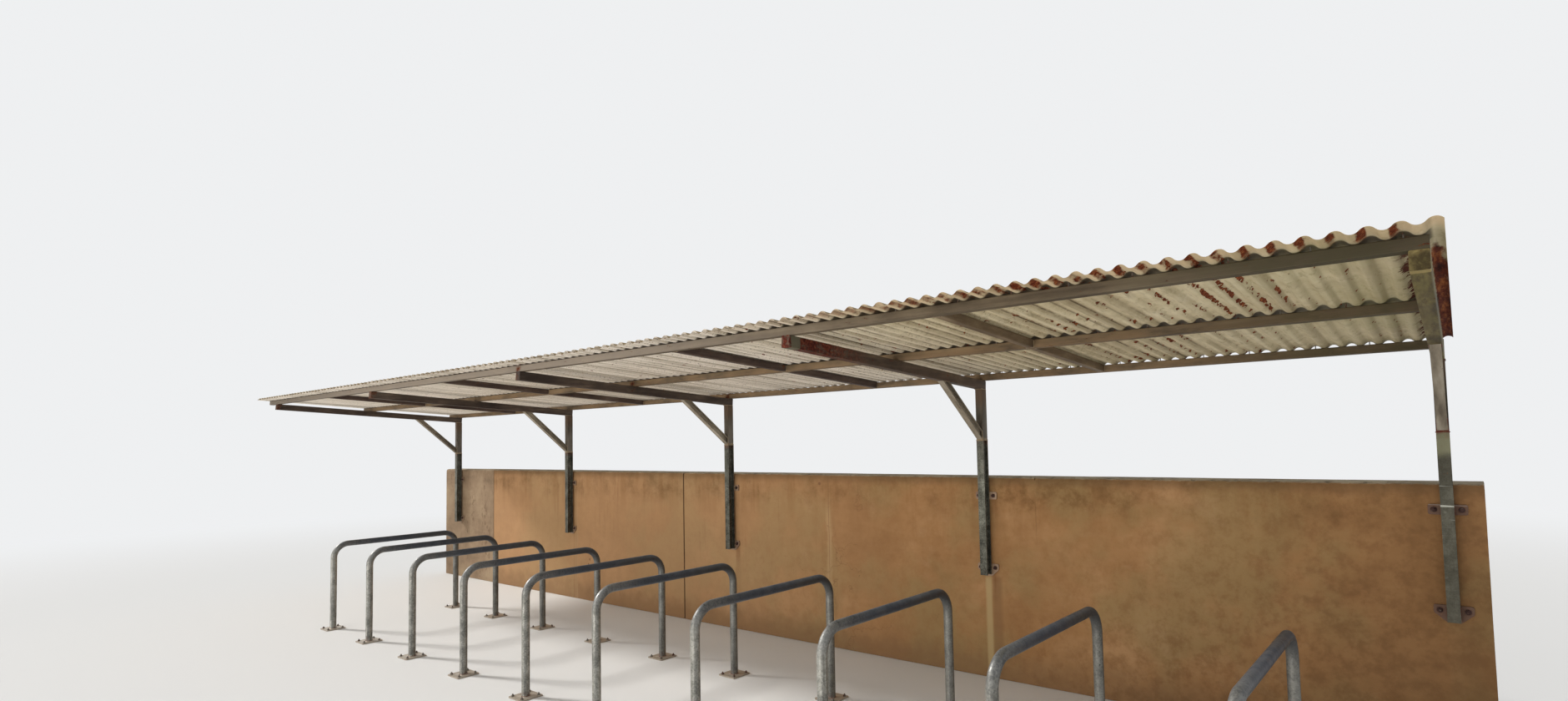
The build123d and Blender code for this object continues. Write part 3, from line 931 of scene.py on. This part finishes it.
def make_foot_bolt():
    return joined([make_washer("foot_washer", radius=0.0095, height=0.0016, dome=0.0002),
                   make_hex("foot_nut", across=0.0145, height=0.0070, at_z=0.0016, bevel=0.0007),
                   make_stud("foot_stud", radius=0.0046, length=0.0145, threads=6)], "foot_bolt")


def make_roof_screw():
    """Self-drilling screw: domed washer, hexagon head, and the shank down to the purlin."""
    length = 0.0205
    rings = 10
    centre = -0.0090
    shank = fresh(bpy.ops.mesh.primitive_cylinder_add, "screw_shank", vertices=8, radius=0.0027,
                  depth=length, location=(0, 0, centre))
    with editing(shank):
        choose("EDGE", lambda e: along(e, 2))
        bpy.ops.mesh.subdivide(number_cuts=rings - 1)
        choose("VERT", lambda v: round((v.co.z - centre + length / 2) / length * rings) % 2 == 1)
        bpy.ops.transform.resize(value=(0.82, 0.82, 1))
    return joined([make_washer("screw_washer", radius=0.0090, height=0.0010, dome=0.0007),
                   make_hex("screw_head", across=0.0080, height=0.0044, at_z=0.0016, bevel=0.0005),
                   shank], "roof_screw")


anchor = make_anchor()
foot_bolt = make_foot_bolt()
roof_screw = make_roof_screw()


def fastened(pattern, places, out, name, finish, slot):
    """Copies of a fastener at each place, pointing out of its face and turned by chance."""
    fasteners = []
    for at in places:
        turn = Matrix.Rotation(random.uniform(0, math.pi / 3), 4, "Z")
        fasteners.append(copied(pattern, "fastener", facing(out, at) @ turn))
    piece = joined(fasteners, name)
    smooth(piece, 30)
    dressed(piece, finish, slot)


def lug_places(x):
    for side in (-1, 1):
        for z in (upper_lug, lower_lug):
            yield Vector((x + side * lug_reach, wall_y - lug_gauge, z))


def foot_places(x, feet):
    for y in feet:
        for across, ahead in ((-1, -1), (-1, 1), (1, -1), (1, 1)):
            yield Vector((x + across * foot_bolt_reach, y + ahead * foot_bolt_reach, foot_gauge))


def screw_places(sheet):
    """On every third or fourth crest, over each purlin and a little off its middle."""
    for row in (front_row, middle_row, back_row):
        for crest in (1, 4, 7, 11):
            x = roof_right - ((sheet - 1) * waves + crest + 0.25) * pitch
            yield on_roof(x, row + random.uniform(-0.004, 0.004), crest_up)


def hoop_feet(number):
    """A hoop's place in X, and the places in Y of its two legs."""
    low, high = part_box(f"bike_hoop_{number:02d}")
    half = (high.x - low.x) / 2
    return low.x + half, (low.y + half, high.y - half)


for n, x in enumerate(post_x, start=1):
    fastened(anchor, lug_places(x), (0, -1, 0), f"lug_bolts_{n}", anchor_metal, "galvanised_steel")
for n in range(1, HOOPS + 1):
    fastened(foot_bolt, foot_places(*hoop_feet(n)), (0, 0, 1), f"hoop_bolts_{n:02d}", bolt_metal,
             "galvanised_steel")
for n in range(1, SHEETS + 1):
    fastened(roof_screw, screw_places(n), (0, math.sin(slope), math.cos(slope)), f"sheet_screws_{n:02d}",
             screw_metal, "roof_sheet")

for pattern in (anchor, foot_bolt, roof_screw):
    bpy.data.objects.remove(pattern)


# Weld seams: a flattened bead repeated along each run
def make_bead():
    """A ball drawn flat, and a little narrower at its leading end."""
    bead = fresh(bpy.ops.mesh.primitive_uv_sphere_add, "weld_bead", segments=8, ring_count=5,
                 radius=bead_radius)
    with editing(bead):
        bpy.ops.mesh.select_all(action="SELECT")
        bpy.ops.transform.resize(value=(0.75, 1.0, 0.8))
        choose("VERT", lambda v: v.co.x > 0.001)
        bpy.ops.transform.resize(value=(1, 0.85, 0.8))
    return bead


def weld_run(bead, start, end):
    """Beads from one point to another."""
    run = Vector(end) - Vector(start)
    seam = copied(bead, "weld_run", Matrix.Identity(4))
    repeated(seam, max(2, round(run.length / bead_step)), bead_step)
    seam.matrix_world = Matrix.Translation(start) @ run.to_track_quat("X", "Z").to_matrix().to_4x4()
    settle(seam)
    return seam


def weld_ring(bead, centre, radius):
    """Beads round the foot of a tube."""
    count = round(2 * math.pi * radius / bead_step)
    beads = []
    for i in range(count):
        angle = 2 * math.pi * i / count
        at = Vector(centre) + Vector((math.cos(angle), math.sin(angle), 0)) * radius
        turn = Matrix.Rotation(angle + math.pi / 2, 4, "Z")
        beads.append(copied(bead, "ring_bead", Matrix.Translation(at) @ turn))
    return joined(beads, "weld_ring")


def welded(beads, name, finish, slot):
    """Joins weld beads into one piece."""
    piece = joined(beads, name)
    smooth(piece, 60)
    dressed(piece, finish, slot)


def post_seams(x, weld):
    """Round the joint of post and head, along the lug plates, and round the top of the head."""
    half = arm_width / 2
    back = face_y + post_depth
    runs = [((x - half, y, weld), (x + half, y, weld)) for y in (face_y, back)]
    for side in (x - half, x + half):
        runs.append(((side, face_y, weld), (side, back, weld)))
        for lug in (upper_lug, lower_lug):
            reach = lug_height / 2 - 0.004
            runs.append(((side, back, lug - reach), (side, back, lug + reach)))
        runs.append((on_roof(side, 0, -arm_depth), on_roof(side, post_depth, -arm_depth)))
    runs.append((on_roof(x - half, 0, -arm_depth), on_roof(x + half, 0, -arm_depth)))
    return runs


def brace_seams(x, weld):
    """Round both ends of the brace."""
    high = on_roof(x, -brace_out / math.cos(slope), -arm_depth)
    low = Vector((x, face_y, weld + brace_up))
    rise = math.atan2(high.z - low.z, low.y - high.y)
    foot = brace_depth / 2 / math.cos(rise)
    head = brace_depth / 2 / math.sin(rise + slope)
    half = Vector((brace_width / 2, 0, 0))
    up = Vector((0, 0, foot))
    ahead = Vector((0, -head * math.cos(slope), head * math.sin(slope)))
    runs = []
    for centre, reach in ((low, up), (high, ahead)):
        for line, aside in ((half, reach), (half, -reach), (reach, -half), (reach, half)):
            runs.append((centre - line + aside, centre + line + aside))
    return runs


def purlin_seams(x):
    """Where the purlins sit on an arm."""
    half = arm_width / 2
    runs = []
    for row in (front_row, middle_row, back_row):
        for edge in (row - purlin / 2, row + purlin / 2):
            if edge > front_row - purlin / 2 + 0.001:
                runs.append((on_roof(x - half + 0.004, edge, 0), on_roof(x + half - 0.004, edge, 0)))
    return runs


def rafter_seams(x):
    """The upright corners where a rafter meets the purlins."""
    half = purlin / 2
    runs = []
    for edge in (front_row + half, middle_row - half, middle_row + half, back_row - half):
        for side in (x - half, x + half):
            runs.append((on_roof(side, edge, 0.003), on_roof(side, edge, purlin - 0.003)))
        runs.append((on_roof(x - half, edge, 0.001), on_roof(x + half, edge, 0.001)))
    return runs


bead = make_bead()
for n, (x, weld) in enumerate(zip(post_x, weld_z), start=1):
    runs = post_seams(x, weld) + brace_seams(x, weld) + purlin_seams(x)
    welded([weld_run(bead, *run) for run in runs], f"frame_welds_{n}", rusty_weld if n == 1 else weld_metal,
           "frame_paint")
runs = []
for n in range(1, POSTS):
    low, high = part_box(f"rafter_{n}")
    runs += rafter_seams((low.x + high.x) / 2)
welded([weld_run(bead, *run) for run in runs], "rafter_welds", weld_metal, "frame_paint")
for n in range(1, HOOPS + 1):
    x, feet = hoop_feet(n)
    rings = [weld_ring(bead, (x, y, foot_gauge), hoop_tube) for y in feet]
    welded(rings, f"hoop_welds_{n:02d}", rusty_weld, "galvanised_steel")
bpy.data.objects.remove(bead)


# Finishes of the steel nodes
def coated(node, finish):
    """Gives a CAD node its finish."""
    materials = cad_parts[node].data.materials
    materials.clear()
    materials.append(finish)


def smoothed(node, finish, slot):
    """A copy of a node with its triangles merged, so that its bends shade round."""
    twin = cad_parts[node].copy()
    twin.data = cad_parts[node].data.copy()
    twin.parent = None
    for key in list(twin.keys()):
        del twin[key]
    twin.name = f"{node}_round"
    bpy.context.scene.collection.objects.link(twin)
    with editing(twin):
        bpy.ops.mesh.select_all(action="SELECT")
        bpy.ops.mesh.remove_doubles(threshold=0.00001)
        bpy.ops.mesh.tris_convert_to_quads()
    smooth(twin, 35)
    dressed(twin, finish, slot, node)


for n in range(POSTS):
    coated(f"wall_post_{n + 1}", post_zinc(n))
    coated(f"post_head_{n + 1}", head_coat(n))
    coated(f"roof_arm_{n + 1}", arm_coat(n))
    coated(f"arm_brace_{n + 1}", brace_finish)
for node in ("front_purlin", "middle_purlin", "back_purlin"):
    coated(node, purlin_finish)
for n in range(1, POSTS):
    coated(f"rafter_{n}", first_rafter_finish if n == 1 else rafter_finish)
for n in range(1, HOOPS + 1):
    smoothed(f"bike_hoop_{n:02d}", tube_finish, "galvanised_steel")


# Floor, light and camera
backdrop = (0.86, 0.87, 0.88, 1)


def make_floor():
    """Pale floor that fades into the backdrop well away from the shelter."""
    floor = fresh(bpy.ops.mesh.primitive_plane_add, "studio_floor", size=160, location=(0, 0, -0.0005))
    f = Finish("floor_paint", specular=0.1)
    reach = f.node("VectorMath", {0: f.metres}, operation="LENGTH", out="Value")
    away = f.rising(reach, 7, 16)
    f.shader.inputs["Base Color"].default_value = (0.78, 0.78, 0.77, 1)
    f.shader.inputs["Roughness"].default_value = 0.9
    glow = f.node("Emission", {"Color": backdrop, "Strength": 1.0})
    seen = f.node("LightPath", {}, out="Is Camera Ray")
    for ray in ("Is Glossy Ray", "Is Transmission Ray"):
        seen = f.larger(seen, f.node("LightPath", {}, out=ray))
    mixed = f.node("MixShader", {0: f.times(away, seen), 1: f.shader.outputs[0], 2: glow})
    output = f.tree.nodes["Material Output"]
    f.tree.links.new(mixed, output.inputs["Surface"])
    floor.data.materials.append(f.material)


def make_world():
    """Even sky light; the camera and reflections see the backdrop."""
    world = bpy.data.worlds.new("studio")
    world.use_nodes = True
    bpy.context.scene.world = world
    nodes, links = world.node_tree.nodes, world.node_tree.links
    fill = nodes["Background"]
    fill.inputs["Color"].default_value = (0.95, 0.97, 1.0, 1)
    fill.inputs["Strength"].default_value = 0.46
    seen = nodes.new("ShaderNodeBackground")
    seen.inputs["Color"].default_value = backdrop
    seen.inputs["Strength"].default_value = 1.0
    path = nodes.new("ShaderNodeLightPath")
    ray = path.outputs["Is Camera Ray"]
    for other in ("Is Glossy Ray", "Is Transmission Ray"):
        either = nodes.new("ShaderNodeMath")
        either.operation = "MAXIMUM"
        links.new(ray, either.inputs[0])
        links.new(path.outputs[other], either.inputs[1])
        ray = either.outputs[0]
    pick = nodes.new("ShaderNodeMixShader")
    links.new(ray, pick.inputs[0])
    links.new(fill.outputs[0], pick.inputs[1])
    links.new(seen.outputs[0], pick.inputs[2])
    links.new(pick.outputs[0], nodes["World Output"].inputs["Surface"])


def add_lamp(name, kind, at, aim, energy, colour, spread, width=0.0, height=0.0):
    """A lamp; spread is the softness of a far one, or how wide a near one of some width and height shines."""
    lamp = bpy.data.lights.new(name, kind)
    if kind == "SUN":
        lamp.angle = math.radians(spread)
    else:
        lamp.shape = "RECTANGLE"
        lamp.size = width
        lamp.size_y = height
        lamp.spread = math.radians(spread)
    lamp.energy = energy
    lamp.color = colour
    holder = bpy.data.objects.new(name, lamp)
    bpy.context.scene.collection.objects.link(holder)
    holder.location = at
    holder.rotation_euler = (Vector(aim) - Vector(at)).to_track_quat("-Z", "Y").to_euler()
    holder.visible_camera = False


make_floor()
make_world()
add_lamp("high_left_lamp", "SUN", at=(-11.0, -4.5, 9.0), aim=(0.5, -0.2, 0.6), energy=2.7,
         colour=(1.0, 0.97, 0.93), spread=9)
add_lamp("front_fill", "SUN", at=(-3.0, -12.0, 3.5), aim=(0.0, 0.0, 1.0), energy=0.55,
         colour=(0.96, 0.98, 1.0), spread=60)
add_lamp("low_fill", "AREA", at=(-0.5, -7.5, 0.5), aim=(0.0, -0.3, 2.30), energy=58,
         colour=(1.0, 0.97, 0.93), spread=56, width=10.0, height=0.8)

# The camera stands at eye height in front of the right end, looking along the shelter
camera_data = bpy.data.cameras.new("camera")
camera = bpy.data.objects.new("camera", camera_data)
bpy.context.scene.collection.objects.link(camera)
camera_place = (4.997, -3.654, 1.564)
camera_yaw = math.radians(37.96)
camera_pitch = math.radians(3.03)
camera_roll = math.radians(-1.29)
camera.matrix_world = (Matrix.Translation(camera_place) @ Matrix.Rotation(camera_yaw, 4, "Z")
                       @ Matrix.Rotation(math.pi / 2 + camera_pitch, 4, "X")
                       @ Matrix.Rotation(camera_roll, 4, "Z"))
camera_data.sensor_width = 36
camera_data.lens = 17.82
camera_data.shift_x = -0.0443
camera_data.shift_y = 0.0298
camera_data.clip_start = 0.05
camera_data.clip_end = 300
bpy.context.scene.camera = camera
bpy.context.scene.view_settings.view_transform = "Standard"
